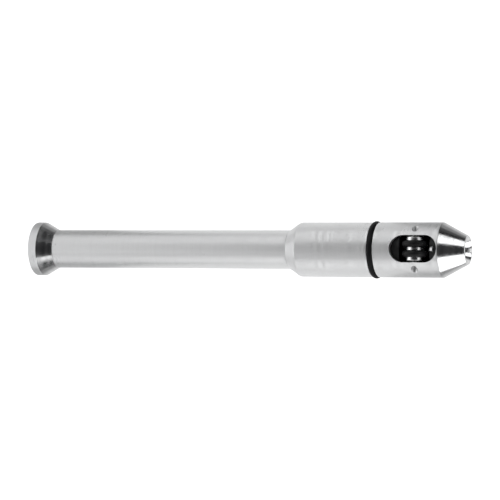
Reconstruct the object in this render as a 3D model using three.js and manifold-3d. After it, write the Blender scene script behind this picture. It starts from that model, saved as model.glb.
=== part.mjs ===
// Thumb-driven filler rod feed pen, lying on its side: slim handle, wide barrel, seal ring, a head with
// a roller window facing up, and a conical nose. Millimetres. +X points out of the nose and +Z out of the
// window. Stations along the pen are measured from the tail's end face. The whole pen is then moved so that
// the middle of its length is at x = 0 and the seal ring, its widest round, rests on z = 0.
import * as THREE from "three";
import { mergeVertices } from "three/addons/utils/BufferGeometryUtils.js";
import Module from "manifold-3d";

const wasm = await Module();
wasm.setup();

// Outside of the pen: stations and radii.
const LENGTH = 169.5;
const BODY_R = 10.0;
const TAIL_R = 10.1;
const HANDLE_R = 7.155;
const RIM_END = 3.25;
const TAIL_CONE_END = 8.7;
const SHOULDER_START = 102.16;
const SHOULDER_END = 106.4;
const BARREL_END = 134.2;
const HEAD_START = 136.3;
const NOSE_START = 160.5;
const TIP_R = 5.25;
const TIP_ROUND = 0.2;
const EDGE = 0.35; // small turned chamfers
const SEAM = 0.1; // gap between two faces that butt together
const SLIP = 0.3; // radial gap between a spigot or an insert and its socket

// Bores and spigots.
const TAIL_MOUTH_R = 5.6;
const TAIL_BORE_R = 3.0;
const TAIL_SPIGOT_END = 17;
const HANDLE_BORE_R = 4.5;
const HANDLE_SPIGOT_R = 5.9;
const HANDLE_SPIGOT_END = 112;
const BARREL_BORE_R = 8.3;
const BARREL_BORE_START = 117;
const HEAD_SPIGOT_R = 8.0;
const HEAD_SPIGOT_START = 119;
const SPIGOT_BORE_R = 6.2;
const HEAD_BORE_R = 8.1;
const HEAD_BORE_START = 138;
const NOSE_SPIGOT_R = 5.4;
const NOSE_SPIGOT_START = 158.6;
const NOSE_GUIDE_BORE_R = 4.0;
const NOSE_GUIDE_BORE_END = 163;
const NOSE_BORE_R = 3.4;
const TIP_MOUTH_R = 4.85;
const TIP_MOUTH_DEPTH = 2.2;

// Seal ring between barrel and head.
const SEAL_STATION = (BARREL_END + HEAD_START) / 2;
const SEAL_R = 10.45;
const SEAL_SECTION_R = 1.0;

// Window and thumb roller. The axle runs across the pen, along Y.
const ROLLER_STATION = 151.5;
const AXLE_HEIGHT = 6.7;
const WINDOW_LENGTH = 17.65;
const WINDOW_WIDTH = 9.85;
const TYRE_R = 4.65;
const TYRE_SECTION_R = 1.175;
const TYRE_OFFSET = 1.78;
const SPOOL_R = 3.13;
const SPOOL_HALF = 4.2;
const SPOOL_GROOVE_R = 2.25;
const BUSH_R = 1.55;
const BUSH_BORE_R = 1.08;
const BUSH_LENGTH = 1.9;
const AXLE_R = 1.0;
const AXLE_HALF = 5.2;
const AXLE_HOLE_R = 1.2;
const SCREW_R = 1.1;
const SCREW_START = 5.35;
const SCREW_END = 6.25;
const SOCKET_R = 0.62;
const SOCKET_DEPTH = 0.55;
const WASHER_R = 2.0;
const WASHER_START = 4.33;
const WASHER_END = 4.67;

// Cradle: the black insert that lines the head and carries the rod guides and the pressure carriage.
const CRADLE_R = HEAD_BORE_R - SLIP;
const CRADLE_START = HEAD_BORE_START + SLIP;
const CRADLE_END = NOSE_START - SLIP;
const ROLLER_POCKET_HALF = 5.7;
const ROLLER_POCKET_WIDTH = 9.9;
const GUIDE_HEIGHT = 1.1; // the rod's line, above the pen's axis
const GUIDE_R = 2.6;
const GUIDE_BORE_R = 1.9;
const FUNNEL_R = 5.8;
const FUNNEL_END = 126;
const GUIDE_REACH = 4.0; // from the roller's station to each guide's end
const FRONT_GUIDE_END = 162.5;
const SHOE_START = 4.95; // the front guide's raised shoe, from the roller's station
const SHOE_END = 6.7;
const SHOE_HALF_WIDTH = 0.72;
const SHOE_HIGH = 6.1; // heights of its top, at the roller and at the nose
const SHOE_LOW = 5.45;

// Pressure carriage, idler wheel and springs under the rod's line.
const CARRIAGE_HALF = 3.7;
const CARRIAGE_WIDTH = 6.6;
const CARRIAGE_TOP = 0.75;
const CARRIAGE_FLOOR_TOP = -3.45;
const CARRIAGE_BOTTOM = -4.25;
const CHEEK_INSIDE = 2.3;
const CARRIAGE_POCKET_FLOOR = -7.1;
const IDLER_R = 2.6;
const IDLER_HALF = 2.1;
const IDLER_GROOVE_HALF = 1.2;
const IDLER_BORE_R = 0.85;
const IDLER_GAP = 0.05; // between the idler's rims and the tyres, with no rod in
const IDLER_HEIGHT = AXLE_HEIGHT - TYRE_R - IDLER_GAP - IDLER_R;
const IDLER_AXLE_R = 0.75;
const IDLER_AXLE_HOLE_R = 0.82;
const SPRING_OFFSET = 2.3;
const SPRING_R = 0.95;
const SPRING_WIRE_R = 0.175;
const SPRING_TURNS = 3;

// Facets.
const LARGE_ROUND = 32;
const SMALL_ROUND = 24;
const PIN_ROUND = 20;
const AXIS_Z = SEAL_R * Math.cos(Math.PI / LARGE_ROUND); // a flat facet of the seal ring rests on z = 0

const blastedAluminium = new THREE.MeshStandardMaterial({ color: 0xc9cacc, roughness: 0.5, metalness: 0.9 });
const polishedAluminium = new THREE.MeshStandardMaterial({ color: 0xe2e3e5, roughness: 0.15, metalness: 1.0 });
const steel = new THREE.MeshStandardMaterial({ color: 0xb9bbbf, roughness: 0.25, metalness: 1.0 });
const bronze = new THREE.MeshStandardMaterial({ color: 0xb08a4e, roughness: 0.4, metalness: 1.0 });
const blackRubber = new THREE.MeshStandardMaterial({ color: 0x141416, roughness: 0.6, metalness: 0.0 });
const blackPlastic = new THREE.MeshStandardMaterial({ color: 0x1b1b1d, roughness: 0.5, metalness: 0.0 });

// A closed outline of [station, radius] points, turned about the pen's axis. Flats face up and down.
function turned(outline, segments = LARGE_ROUND) {
  const points = outline.map(([x, r]) => new THREE.Vector2(r, x));
  if (THREE.ShapeUtils.area(points) < 0) points.reverse();
  points.push(points[0].clone());
  const lathe = new THREE.LatheGeometry(points, segments, Math.PI / segments);
  return lathe.rotateZ(-Math.PI / 2);
}

// The same, turned about the roller's axle instead: [place across the pen, radius] points.
function turnedAcross(outline, segments = SMALL_ROUND) {
  return turned(outline, segments).rotateZ(Math.PI / 2);
}

// Points of an arc in an outline, from one angle to another in degrees.
function arc(x, r, radius, from, to, steps) {
  return Array.from({ length: steps + 1 }, (_, i) => {
    const angle = THREE.MathUtils.degToRad(from + ((to - from) * i) / steps);
    return [x + radius * Math.cos(angle), r + radius * Math.sin(angle)];
  });
}

// A plain tube or ring as an outline.
function ring(start, end, inner, outer) {
  return [[start, inner], [start, outer], [end, outer], [end, inner]];
}

function solid(geometry) {
  const bare = geometry.clone();
  bare.deleteAttribute("normal");
  bare.deleteAttribute("uv");
  const merged = mergeVertices(bare, 1e-4);
  return new wasm.Manifold(
    new wasm.Mesh({
      numProp: 3,
      vertProperties: merged.attributes.position.array,
      triVerts: new Uint32Array(merged.index.array),
    }),
  );
}

function asGeometry(manifold) {
  const { vertProperties, triVerts } = manifold.getMesh();
  const geometry = new THREE.BufferGeometry();
  geometry.setAttribute("position", new THREE.BufferAttribute(vertProperties, 3));
  geometry.setIndex(new THREE.BufferAttribute(triVerts, 1));
  return geometry;
}

function cut(geometry, ...cutters) {
  return asGeometry(cutters.reduce((rest, cutter) => rest.subtract(solid(cutter)), solid(geometry)));
}

// A box given by its limits along X, Y and Z.
function block([x0, x1], [y0, y1], [z0, z1]) {
  const box = new THREE.BoxGeometry(x1 - x0, y1 - y0, z1 - z0);
  return box.translate((x0 + x1) / 2, (y0 + y1) / 2, (z0 + z1) / 2);
}

// A cylinder across the pen, at a station and a height.
function crossPin(station, height, radius, start, end, segments = PIN_ROUND) {
  const pin = new THREE.CylinderGeometry(radius, radius, end - start, segments);
  return pin.translate(station, (start + end) / 2, height);
}

const pen = new THREE.Group();
pen.position.set(-LENGTH / 2, 0, AXIS_Z);

function add(name, geometry, material, [x, y, z] = [0, 0, 0]) {
  const mesh = new THREE.Mesh(geometry, material);
  mesh.name = name;
  mesh.position.set(x, y, z);
  pen.add(mesh);
}

// Tail: a flared cap with a polished cone, a funnel mouth and a spigot inside the handle.
function tailCap() {
  return turned([
    [0, TAIL_MOUTH_R],
    [0, TAIL_R - EDGE],
    [EDGE, TAIL_R],
    [RIM_END, TAIL_R],
    [TAIL_CONE_END, HANDLE_R],
    [TAIL_CONE_END, HANDLE_BORE_R - SLIP],
    [TAIL_SPIGOT_END, HANDLE_BORE_R - SLIP],
    [TAIL_SPIGOT_END, TAIL_BORE_R],
    [TAIL_MOUTH_R - TAIL_BORE_R, TAIL_BORE_R],
  ]);
}

function handleTube() {
  return turned([
    [TAIL_CONE_END + SEAM, HANDLE_BORE_R],
    [TAIL_CONE_END + SEAM, HANDLE_R],
    [SHOULDER_START - SEAM, HANDLE_R],
    [SHOULDER_START - SEAM, HANDLE_SPIGOT_R],
    [HANDLE_SPIGOT_END, HANDLE_SPIGOT_R],
    [HANDLE_SPIGOT_END, HANDLE_BORE_R],
  ]);
}

// Barrel: shoulder cone behind, deep socket for the head's spigot in front.
function barrel() {
  return turned([
    [SHOULDER_START, HANDLE_SPIGOT_R + SLIP],
    [SHOULDER_START, HANDLE_R],
    [SHOULDER_END, BODY_R],
    [BARREL_END - EDGE, BODY_R],
    [BARREL_END, BODY_R - EDGE],
    [BARREL_END, BARREL_BORE_R],
    [BARREL_BORE_START, BARREL_BORE_R],
    [BARREL_BORE_START, HANDLE_SPIGOT_R + SLIP],
  ]);
}

function sealRing() {
  const section = arc(0, SEAL_R - SEAL_SECTION_R, SEAL_SECTION_R, 0, 360, 12).slice(0, -1);
  return turned(section);
}

// A stadium lying along the pen, extruded upwards from the axis: the window's cutter.
function windowCutter() {
  const round = WINDOW_WIDTH / 2;
  const straight = WINDOW_LENGTH / 2 - round;
  const outline = new THREE.Shape();
  outline.absarc(straight, 0, round, -Math.PI / 2, Math.PI / 2, false);
  outline.absarc(-straight, 0, round, Math.PI / 2, (3 * Math.PI) / 2, false);
  const options = { depth: 2 * BODY_R, bevelEnabled: false, curveSegments: 10 };
  const cutter = new THREE.ExtrudeGeometry(outline, options);
  return cutter.translate(ROLLER_STATION, 0, 0);
}

function headShell() {
  const shell = turned([
    [HEAD_SPIGOT_START, SPIGOT_BORE_R],
    [HEAD_SPIGOT_START, HEAD_SPIGOT_R],
    [HEAD_START, HEAD_SPIGOT_R],
    [HEAD_START, BODY_R - EDGE],
    [HEAD_START + EDGE, BODY_R],
    [NOSE_START, BODY_R],
    [NOSE_START, HEAD_BORE_R],
    [HEAD_BORE_START, HEAD_BORE_R],
    [HEAD_BORE_START, SPIGOT_BORE_R],
  ]);
  const axleHole = crossPin(ROLLER_STATION, AXLE_HEIGHT, AXLE_HOLE_R, -BODY_R, BODY_R);
  return cut(shell, windowCutter(), axleHole);
}

// Nose: a cone with a rounded lip, a countersunk mouth and a spigot inside the cradle.
function noseCone() {
  const slope = Math.atan2(BODY_R - TIP_R, LENGTH - NOSE_START);
  const back = TIP_ROUND * Math.tan(Math.PI / 4 - slope / 2);
  const lip = arc(LENGTH - TIP_ROUND, TIP_R - back, TIP_ROUND, 90 - THREE.MathUtils.radToDeg(slope), 0, 4);
  return turned([
    [NOSE_SPIGOT_START, NOSE_GUIDE_BORE_R],
    [NOSE_SPIGOT_START, NOSE_SPIGOT_R],
    [NOSE_START + SEAM, NOSE_SPIGOT_R],
    [NOSE_START + SEAM, BODY_R],
    ...lip,
    [LENGTH, TIP_MOUTH_R],
    [LENGTH - TIP_MOUTH_DEPTH, NOSE_BORE_R],
    [NOSE_GUIDE_BORE_END, NOSE_BORE_R],
    [NOSE_GUIDE_BORE_END, NOSE_GUIDE_BORE_R],
  ]);
}

// A round passage on the rod's line, as a cutter or a bush.
function onRodLine(geometry) {
  return geometry.translate(0, 0, GUIDE_HEIGHT);
}

function rollerCradle() {
  const near = ROLLER_STATION - GUIDE_REACH;
  const far = ROLLER_STATION + GUIDE_REACH;
  const body = turned([
    [CRADLE_START, 0],
    [CRADLE_START, CRADLE_R],
    [CRADLE_END, CRADLE_R],
    [CRADLE_END, 0],
  ]);
  const rollerPocket = block(
    [ROLLER_STATION - ROLLER_POCKET_HALF, ROLLER_STATION + ROLLER_POCKET_HALF],
    [-ROLLER_POCKET_WIDTH / 2, ROLLER_POCKET_WIDTH / 2],
    [GUIDE_HEIGHT, BODY_R],
  );
  const carriagePocket = block(
    [near, far],
    [-CARRIAGE_WIDTH / 2 - SLIP, CARRIAGE_WIDTH / 2 + SLIP],
    [CARRIAGE_POCKET_FLOOR, BODY_R],
  );
  const guideBore = onRodLine(turned(ring(CRADLE_START - 1, CRADLE_END + 1, 0, GUIDE_R + SLIP), SMALL_ROUND));
  const noseSocket = turned(ring(NOSE_SPIGOT_START - SLIP, CRADLE_END + 1, 0, NOSE_SPIGOT_R + SLIP));
  const shoeSlot = block(
    [far, ROLLER_STATION + SHOE_END + SLIP],
    [-SHOE_HALF_WIDTH - SLIP, SHOE_HALF_WIDTH + SLIP],
    [GUIDE_HEIGHT, BODY_R],
  );
  const axleHole = crossPin(ROLLER_STATION, AXLE_HEIGHT, AXLE_HOLE_R, -BODY_R, BODY_R);
  return cut(body, rollerPocket, carriagePocket, guideBore, noseSocket, shoeSlot, axleHole);
}

// Rear guide: a funnel that leads the rod from the handle's bore to the roller, its tube on the rod's line.
function rearGuide() {
  const funnel = turned([
    [HEAD_SPIGOT_START + 1, FUNNEL_R - EDGE],
    [HEAD_SPIGOT_START + 1, FUNNEL_R],
    [FUNNEL_END, FUNNEL_R],
    [FUNNEL_END, 0],
    [FUNNEL_END - 1, 0],
  ], SMALL_ROUND);
  const tube = onRodLine(
    turned(ring(FUNNEL_END - 1, ROLLER_STATION - GUIDE_REACH, 0, GUIDE_R), SMALL_ROUND),
  );
  const bore = onRodLine(
    turned(ring(FUNNEL_END - 2.5, ROLLER_STATION, 0, GUIDE_BORE_R), PIN_ROUND),
  );
  return asGeometry(solid(funnel).add(solid(tube)).subtract(solid(bore)));
}

// Front guide: a bush on the rod's line with a raised shoe, its top sloping down to the nose.
function frontGuide() {
  const start = ROLLER_STATION + GUIDE_REACH;
  const leadIn = 0.4;
  const bush = onRodLine(turned([
    [start, GUIDE_BORE_R + leadIn],
    [start, GUIDE_R],
    [FRONT_GUIDE_END, GUIDE_R],
    [FRONT_GUIDE_END, GUIDE_BORE_R],
    [start + leadIn, GUIDE_BORE_R],
  ], SMALL_ROUND));
  const foot = GUIDE_HEIGHT + GUIDE_BORE_R + leadIn / 2;
  const side = new THREE.Shape();
  side.moveTo(SHOE_START, foot);
  side.lineTo(SHOE_END, foot);
  side.lineTo(SHOE_END, SHOE_LOW);
  side.lineTo(SHOE_START, SHOE_HIGH);
  const shoe = new THREE.ExtrudeGeometry(side, { depth: 2 * SHOE_HALF_WIDTH, bevelEnabled: false });
  shoe.translate(0, 0, -SHOE_HALF_WIDTH).rotateX(Math.PI / 2).translate(ROLLER_STATION, 0, 0);
  return asGeometry(solid(bush).add(solid(shoe)));
}

// Spool of the thumb roller: three lands with two square grooves for the tyres.
function spool() {
  const grooveHalf = TYRE_SECTION_R + 0.05;
  const grooves = [-TYRE_OFFSET, TYRE_OFFSET].flatMap((y) => [
    [y - grooveHalf, SPOOL_R],
    [y - grooveHalf, SPOOL_GROOVE_R],
    [y + grooveHalf, SPOOL_GROOVE_R],
    [y + grooveHalf, SPOOL_R],
  ]);
  return turnedAcross([
    [-SPOOL_HALF, BUSH_R + 0.05],
    [-SPOOL_HALF, SPOOL_R],
    ...grooves,
    [SPOOL_HALF, SPOOL_R],
    [SPOOL_HALF, BUSH_R + 0.05],
  ]);
}

function tyre() {
  return turnedAcross(arc(0, TYRE_R - TYRE_SECTION_R, TYRE_SECTION_R, 0, 360, 10).slice(0, -1));
}

// Grub screw with a hexagon socket, its socket facing +Y.
function grubScrew() {
  const body = crossPin(0, 0, SCREW_R, SCREW_START, SCREW_END);
  return cut(body, crossPin(0, 0, SOCKET_R, SCREW_END - SOCKET_DEPTH, SCREW_END + 1, 6));
}

// U-shaped carriage: a floor and two cheeks that hold the idler's axle.
function pressureCarriage() {
  const half = CARRIAGE_WIDTH / 2;
  const body = block([-CARRIAGE_HALF, CARRIAGE_HALF], [-half, half], [CARRIAGE_BOTTOM, CARRIAGE_TOP]);
  const slot = block(
    [-CARRIAGE_HALF - 1, CARRIAGE_HALF + 1],
    [-CHEEK_INSIDE, CHEEK_INSIDE],
    [CARRIAGE_FLOOR_TOP, CARRIAGE_TOP + 1],
  );
  return cut(body, slot, crossPin(0, IDLER_HEIGHT, IDLER_AXLE_HOLE_R, -half - 1, half + 1));
}

function idlerWheel() {
  return turnedAcross([
    [-IDLER_HALF, IDLER_BORE_R],
    [-IDLER_HALF, IDLER_R - 0.15],
    [-IDLER_HALF + 0.15, IDLER_R],
    [-IDLER_GROOVE_HALF, IDLER_R],
    [0, IDLER_R - IDLER_GROOVE_HALF],
    [IDLER_GROOVE_HALF, IDLER_R],
    [IDLER_HALF - 0.15, IDLER_R],
    [IDLER_HALF, IDLER_R - 0.15],
    [IDLER_HALF, IDLER_BORE_R],
  ]);
}

class Helix extends THREE.Curve {
  constructor(radius, bottom, top, turns) {
    super();
    Object.assign(this, { radius, bottom, top, turns });
  }

  getPoint(t, target = new THREE.Vector3()) {
    const angle = 2 * Math.PI * this.turns * t;
    return target.set(
      this.radius * Math.cos(angle),
      this.radius * Math.sin(angle),
      this.bottom + (this.top - this.bottom) * t,
    );
  }
}

function pressureSpring() {
  const section = new THREE.Shape().absarc(0, 0, SPRING_WIRE_R, 0, 2 * Math.PI, false);
  const clearance = SPRING_WIRE_R + 0.05;
  const coil = new Helix(SPRING_R, CARRIAGE_POCKET_FLOOR + clearance, CARRIAGE_BOTTOM - clearance, SPRING_TURNS);
  return new THREE.ExtrudeGeometry(section, { steps: 12 * SPRING_TURNS, extrudePath: coil, curveSegments: 3 });
}

add("tail_cap", tailCap(), polishedAluminium);
add("handle_tube", handleTube(), blastedAluminium);
add("barrel", barrel(), blastedAluminium);
add("seal_ring", sealRing(), blackRubber, [SEAL_STATION, 0, 0]);
add("head_shell", headShell(), blastedAluminium);
add("nose_cone", noseCone(), polishedAluminium);
add("roller_cradle", rollerCradle(), blackPlastic);
add("rear_guide", rearGuide(), blackPlastic);
add("front_guide", frontGuide(), steel);

add("feed_roller", spool(), polishedAluminium, [ROLLER_STATION, 0, AXLE_HEIGHT]);
add("roller_axle", crossPin(0, 0, AXLE_R, -AXLE_HALF, AXLE_HALF), steel, [ROLLER_STATION, 0, AXLE_HEIGHT]);
for (const [side, sign] of [["left", 1], ["right", -1]]) {
  const onAxle = [ROLLER_STATION, 0, AXLE_HEIGHT];
  const bush = turnedAcross(ring(SPOOL_HALF - BUSH_LENGTH, SPOOL_HALF, BUSH_BORE_R, BUSH_R));
  const washer = turnedAcross(ring(WASHER_START, WASHER_END, BUSH_BORE_R, WASHER_R));
  const turn = sign > 0 ? 0 : Math.PI;
  add("roller_tyre_" + side, tyre(), blackRubber, [ROLLER_STATION, sign * TYRE_OFFSET, AXLE_HEIGHT]);
  add("roller_bush_" + side, bush.rotateZ(turn), bronze, onAxle);
  add("roller_washer_" + side, washer.rotateZ(turn), blackPlastic, onAxle);
  add("axle_screw_" + side, grubScrew().rotateZ(turn), steel, onAxle);
}

add("pressure_carriage", pressureCarriage(), blackPlastic, [ROLLER_STATION, 0, 0]);
add("idler_wheel", idlerWheel(), steel, [ROLLER_STATION, 0, IDLER_HEIGHT]);
const idlerAxleHalf = CARRIAGE_WIDTH / 2 - 0.1;
const idlerAxle = crossPin(0, 0, IDLER_AXLE_R, -idlerAxleHalf, idlerAxleHalf);
add("idler_axle", idlerAxle, steel, [ROLLER_STATION, 0, IDLER_HEIGHT]);
for (const [end, sign] of [["front", 1], ["rear", -1]]) {
  add("pressure_spring_" + end, pressureSpring(), steel, [ROLLER_STATION + sign * SPRING_OFFSET, 0, 0]);
}

export default pen;
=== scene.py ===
"""Looks of a thumb-driven filler rod feed pen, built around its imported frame. Metres throughout.

The pen lies along X with its nose at +X and its roller window facing +Z. Each sub-assembly is a class that
turns, cuts and dresses its own pieces; each finish is a small class that writes one material.
"""

from __future__ import annotations

import logging
import math
from dataclasses import dataclass
from enum import Enum
from typing import Callable, Iterable, NamedTuple

import bmesh
import bpy
from bmesh.types import BMEdge, BMesh, BMVert
from bpy.types import Material, Node, NodeSocket, NodeTree, Object
from mathutils import Matrix, Vector

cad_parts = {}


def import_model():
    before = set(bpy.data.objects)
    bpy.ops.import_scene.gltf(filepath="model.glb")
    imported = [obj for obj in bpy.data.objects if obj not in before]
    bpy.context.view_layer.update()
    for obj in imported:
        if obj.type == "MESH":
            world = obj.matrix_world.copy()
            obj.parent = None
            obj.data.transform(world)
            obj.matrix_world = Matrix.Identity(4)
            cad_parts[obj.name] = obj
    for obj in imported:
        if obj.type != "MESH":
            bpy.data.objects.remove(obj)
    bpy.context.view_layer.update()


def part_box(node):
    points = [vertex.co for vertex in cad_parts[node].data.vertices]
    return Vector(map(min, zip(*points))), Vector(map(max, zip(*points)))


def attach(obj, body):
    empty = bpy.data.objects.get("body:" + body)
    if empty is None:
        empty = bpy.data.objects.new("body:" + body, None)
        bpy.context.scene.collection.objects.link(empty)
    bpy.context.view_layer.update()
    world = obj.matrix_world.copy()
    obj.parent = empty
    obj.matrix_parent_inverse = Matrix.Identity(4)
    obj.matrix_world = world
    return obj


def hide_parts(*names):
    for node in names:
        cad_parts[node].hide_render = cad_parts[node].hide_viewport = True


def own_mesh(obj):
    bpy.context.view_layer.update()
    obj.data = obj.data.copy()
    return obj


LOG = logging.getLogger("feed_pen")
MM = 0.001
FULL_TURN = 2 * math.pi
QUARTER_TURN = math.pi / 2
SAME_PLACE = 1e-6
SEAM_MERGE = 1e-8
CARVE_MERGE = 2e-6
SHADED_SHARP = math.radians(38)

Colour = tuple[float, float, float, float]
Ramp = tuple[float, float, float, float]


class Axis(Enum):
    """The line that a piece is turned about."""

    ALONG = "along the pen"
    ACROSS = "across the pen, as the roller's axle"


class Corner(NamedTuple):
    """One corner of a turned outline: place along the axis, radius and rounding, in millimetres."""

    x: float
    r: float
    round: float = 0.0


# ---------------------------------------------------------------- mesh work


def shift(bm: BMesh, by: Iterable[float]) -> None:
    """Moves a whole mesh."""
    bmesh.ops.translate(bm, verts=bm.verts, vec=by)


def rotate(bm: BMesh, angle: float, axis: str) -> None:
    """Turns a whole mesh about a main axis."""
    bmesh.ops.rotate(bm, verts=bm.verts, cent=(0, 0, 0), matrix=Matrix.Rotation(angle, 3, axis))


def off_axis(point: Vector) -> float:
    """Gives a point's distance from the X axis."""
    return math.hypot(point.y, point.z)


def sweep_round(bm: BMesh, section: list, steps: int) -> None:
    """Sweeps a section once round the X axis, closes its seam and turns its faces outwards."""
    bmesh.ops.spin(
        bm, geom=section, cent=(0, 0, 0), axis=(1, 0, 0), angle=FULL_TURN, steps=steps, use_merge=True
    )
    bmesh.ops.remove_doubles(bm, verts=bm.verts, dist=SEAM_MERGE)
    bmesh.ops.recalc_face_normals(bm, faces=bm.faces)


def turn(outline: Iterable[Corner], steps: int = 128, segments: int = 3, rim_material: int = -1) -> BMesh:
    """Turns an outline about the X axis and rounds its corners.

    Args:
        outline: corners in order. One that starts and ends on the axis stays open there, others close.
        steps: facets round the axis.
        segments: facets across each rounded corner.
        rim_material: material index of the rounded corners, or -1 for their neighbours' material.

    Returns:
        The closed mesh, faces outwards.
    """
    corners = list(outline)
    bm = bmesh.new()
    verts = [bm.verts.new((c.x * MM, 0.0, c.r * MM)) for c in corners]
    pairs = list(zip(verts, verts[1:]))
    if corners[0].r > 0:
        pairs.append((verts[-1], verts[0]))
    edges = [bm.edges.new(pair) for pair in pairs]
    sweep_round(bm, verts + edges, steps)
    for width in sorted({c.round for c in corners if c.round > 0}, reverse=True):
        rims = [e for c in corners if c.round == width for e in ring_edges(bm, c)]
        round_edges(bm, rims, width * MM, segments, rim_material)
    return bm


def cylinder(start: float, end: float, radius: float, steps: int, edge: float = 0.0) -> BMesh:
    """Turns a solid cylinder about the X axis, its rims rounded. Lengths in millimetres."""
    corners = (start, 0.0, 0.0), (start, radius, edge), (end, radius, edge), (end, 0.0, 0.0)
    return turn([Corner(*corner) for corner in corners], steps)


def ring_edges(bm: BMesh, corner: Corner) -> list[BMEdge]:
    """Finds the edges that run round the X axis at a corner."""
    def at_corner(v: BMVert) -> bool:
        off_x = abs(v.co.x - corner.x * MM)
        off_r = abs(off_axis(v.co) - corner.r * MM)
        return off_x < SAME_PLACE and off_r < SAME_PLACE
    return [e for e in bm.edges if at_corner(e.verts[0]) and at_corner(e.verts[1])]


def round_edges(
    bm: BMesh, edges: list[BMEdge], width: float, segments: int = 2, material: int = -1
) -> None:
    """Rounds edges by a width in metres."""
    bmesh.ops.bevel(
        bm, geom=edges, offset=width, offset_type="OFFSET", segments=segments, profile=0.5, affect="EDGES",
        clamp_overlap=True, material=material,
    )


def sharp_edges(bm: BMesh, angle: float = math.radians(35)) -> list[BMEdge]:
    """Lists the edges between faces that meet at more than an angle."""
    return [e for e in bm.edges if len(e.link_faces) == 2 and e.calc_face_angle(0.0) > angle]


def place(bm: BMesh, centre: Vector, axis: Axis = Axis.ALONG, flip: bool = False) -> BMesh:
    """Turns a mesh from the X axis to another axis and moves it to its centre.

    Args:
        bm: the mesh, made about the X axis at the origin.
        centre: where its origin goes, in the row frame.
        axis: the axis that it is meant for.
        flip: whether it points the other way along that axis.

    Returns:
        The same mesh.
    """
    spin = {
        Axis.ALONG: Matrix.Identity(3),
        Axis.ACROSS: Matrix.Rotation(QUARTER_TURN, 3, "Z"),
    }[axis]
    if flip:
        spin = Matrix.Rotation(math.pi, 3, "Z") @ spin
    bmesh.ops.rotate(bm, verts=bm.verts, cent=(0, 0, 0), matrix=spin)
    shift(bm, centre)
    return bm


def block(low: Vector, high: Vector) -> BMesh:
    """Makes a box between two corners."""
    bm = bmesh.new()
    bmesh.ops.create_cube(bm, size=1.0)
    bmesh.ops.scale(bm, verts=bm.verts, vec=high - low)
    shift(bm, (low + high) / 2)
    return bm


def stadium(length: float, width: float, height: float, steps: int = 72) -> BMesh:
    """Makes an upright prism of a slot's outline, its long way along X and its foot at z = 0."""
    bm = bmesh.new()
    bmesh.ops.create_circle(bm, cap_ends=True, segments=steps, radius=width / 2)
    rotate(bm, math.pi / steps, "Z")
    for sign in (1, -1):
        half = [v for v in bm.verts if sign * v.co.x > 0]
        bmesh.ops.translate(bm, verts=half, vec=(sign * (length - width) / 2, 0, 0))
    grown = bmesh.ops.extrude_face_region(bm, geom=list(bm.faces))
    top = [v for v in grown["geom"] if isinstance(v, BMVert)]
    bmesh.ops.translate(bm, verts=top, vec=(0, 0, height))
    bmesh.ops.recalc_face_normals(bm, faces=bm.faces)
    return bm


def coil(radius: float, wire: float, height: float, turns: float) -> BMesh:
    """Sweeps a wire's round section up a helix about Z, from z = 0."""
    steps = round(36 * turns)
    bm = bmesh.new()
    bmesh.ops.create_circle(bm, cap_ends=True, segments=12, radius=wire)
    rotate(bm, QUARTER_TURN, "X")
    shift(bm, (radius, 0, 0))
    bmesh.ops.spin(
        bm, geom=list(bm.faces), cent=(0, 0, 0), axis=(0, 0, 1), dvec=(0, 0, height / steps),
        angle=FULL_TURN * turns, steps=steps,
    )
    bmesh.ops.recalc_face_normals(bm, faces=bm.faces)
    return bm


def new_object(name: str, bm: BMesh) -> Object:
    """Turns a bmesh into a linked object at the origin and frees it."""
    mesh = bpy.data.meshes.new(name)
    bm.to_mesh(mesh)
    bm.free()
    made = bpy.data.objects.new(name, mesh)
    bpy.context.scene.collection.objects.link(made)
    return made


def carve(body: BMesh, cutters: list[BMesh], joins: tuple = ()) -> BMesh:
    """Joins meshes to a body and then cuts others out of it.

    Args:
        body: the mesh that is kept.
        cutters: meshes that are taken away.
        joins: meshes that are added first.

    Returns:
        The resulting mesh, its doubles merged.
    """
    kept = new_object("kept", body)
    tools = [(new_object("tool", bm), "UNION") for bm in joins]
    tools += [(new_object("tool", bm), "DIFFERENCE") for bm in cutters]
    for tool, operation in tools:
        boolean = kept.modifiers.new(operation, "BOOLEAN")
        boolean.operation = operation
        boolean.solver = "EXACT"
        boolean.object = tool
    bpy.context.view_layer.update()
    shaped = kept.evaluated_get(bpy.context.evaluated_depsgraph_get()).to_mesh()
    result = bmesh.new()
    result.from_mesh(shaped)
    for made in [kept] + [tool for tool, _ in tools]:
        mesh = made.data
        bpy.data.objects.remove(made)
        bpy.data.meshes.remove(mesh)
    bmesh.ops.remove_doubles(result, verts=result.verts, dist=CARVE_MERGE)
    bmesh.ops.dissolve_degenerate(result, edges=result.edges, dist=CARVE_MERGE)
    return result


def paint(bm: BMesh, index: int, where: Callable[[Vector], bool]) -> None:
    """Gives a material index to the faces whose middle passes a test."""
    for face in bm.faces:
        if where(face.calc_center_median()):
            face.material_index = index


# ---------------------------------------------------------------- shader work


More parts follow.
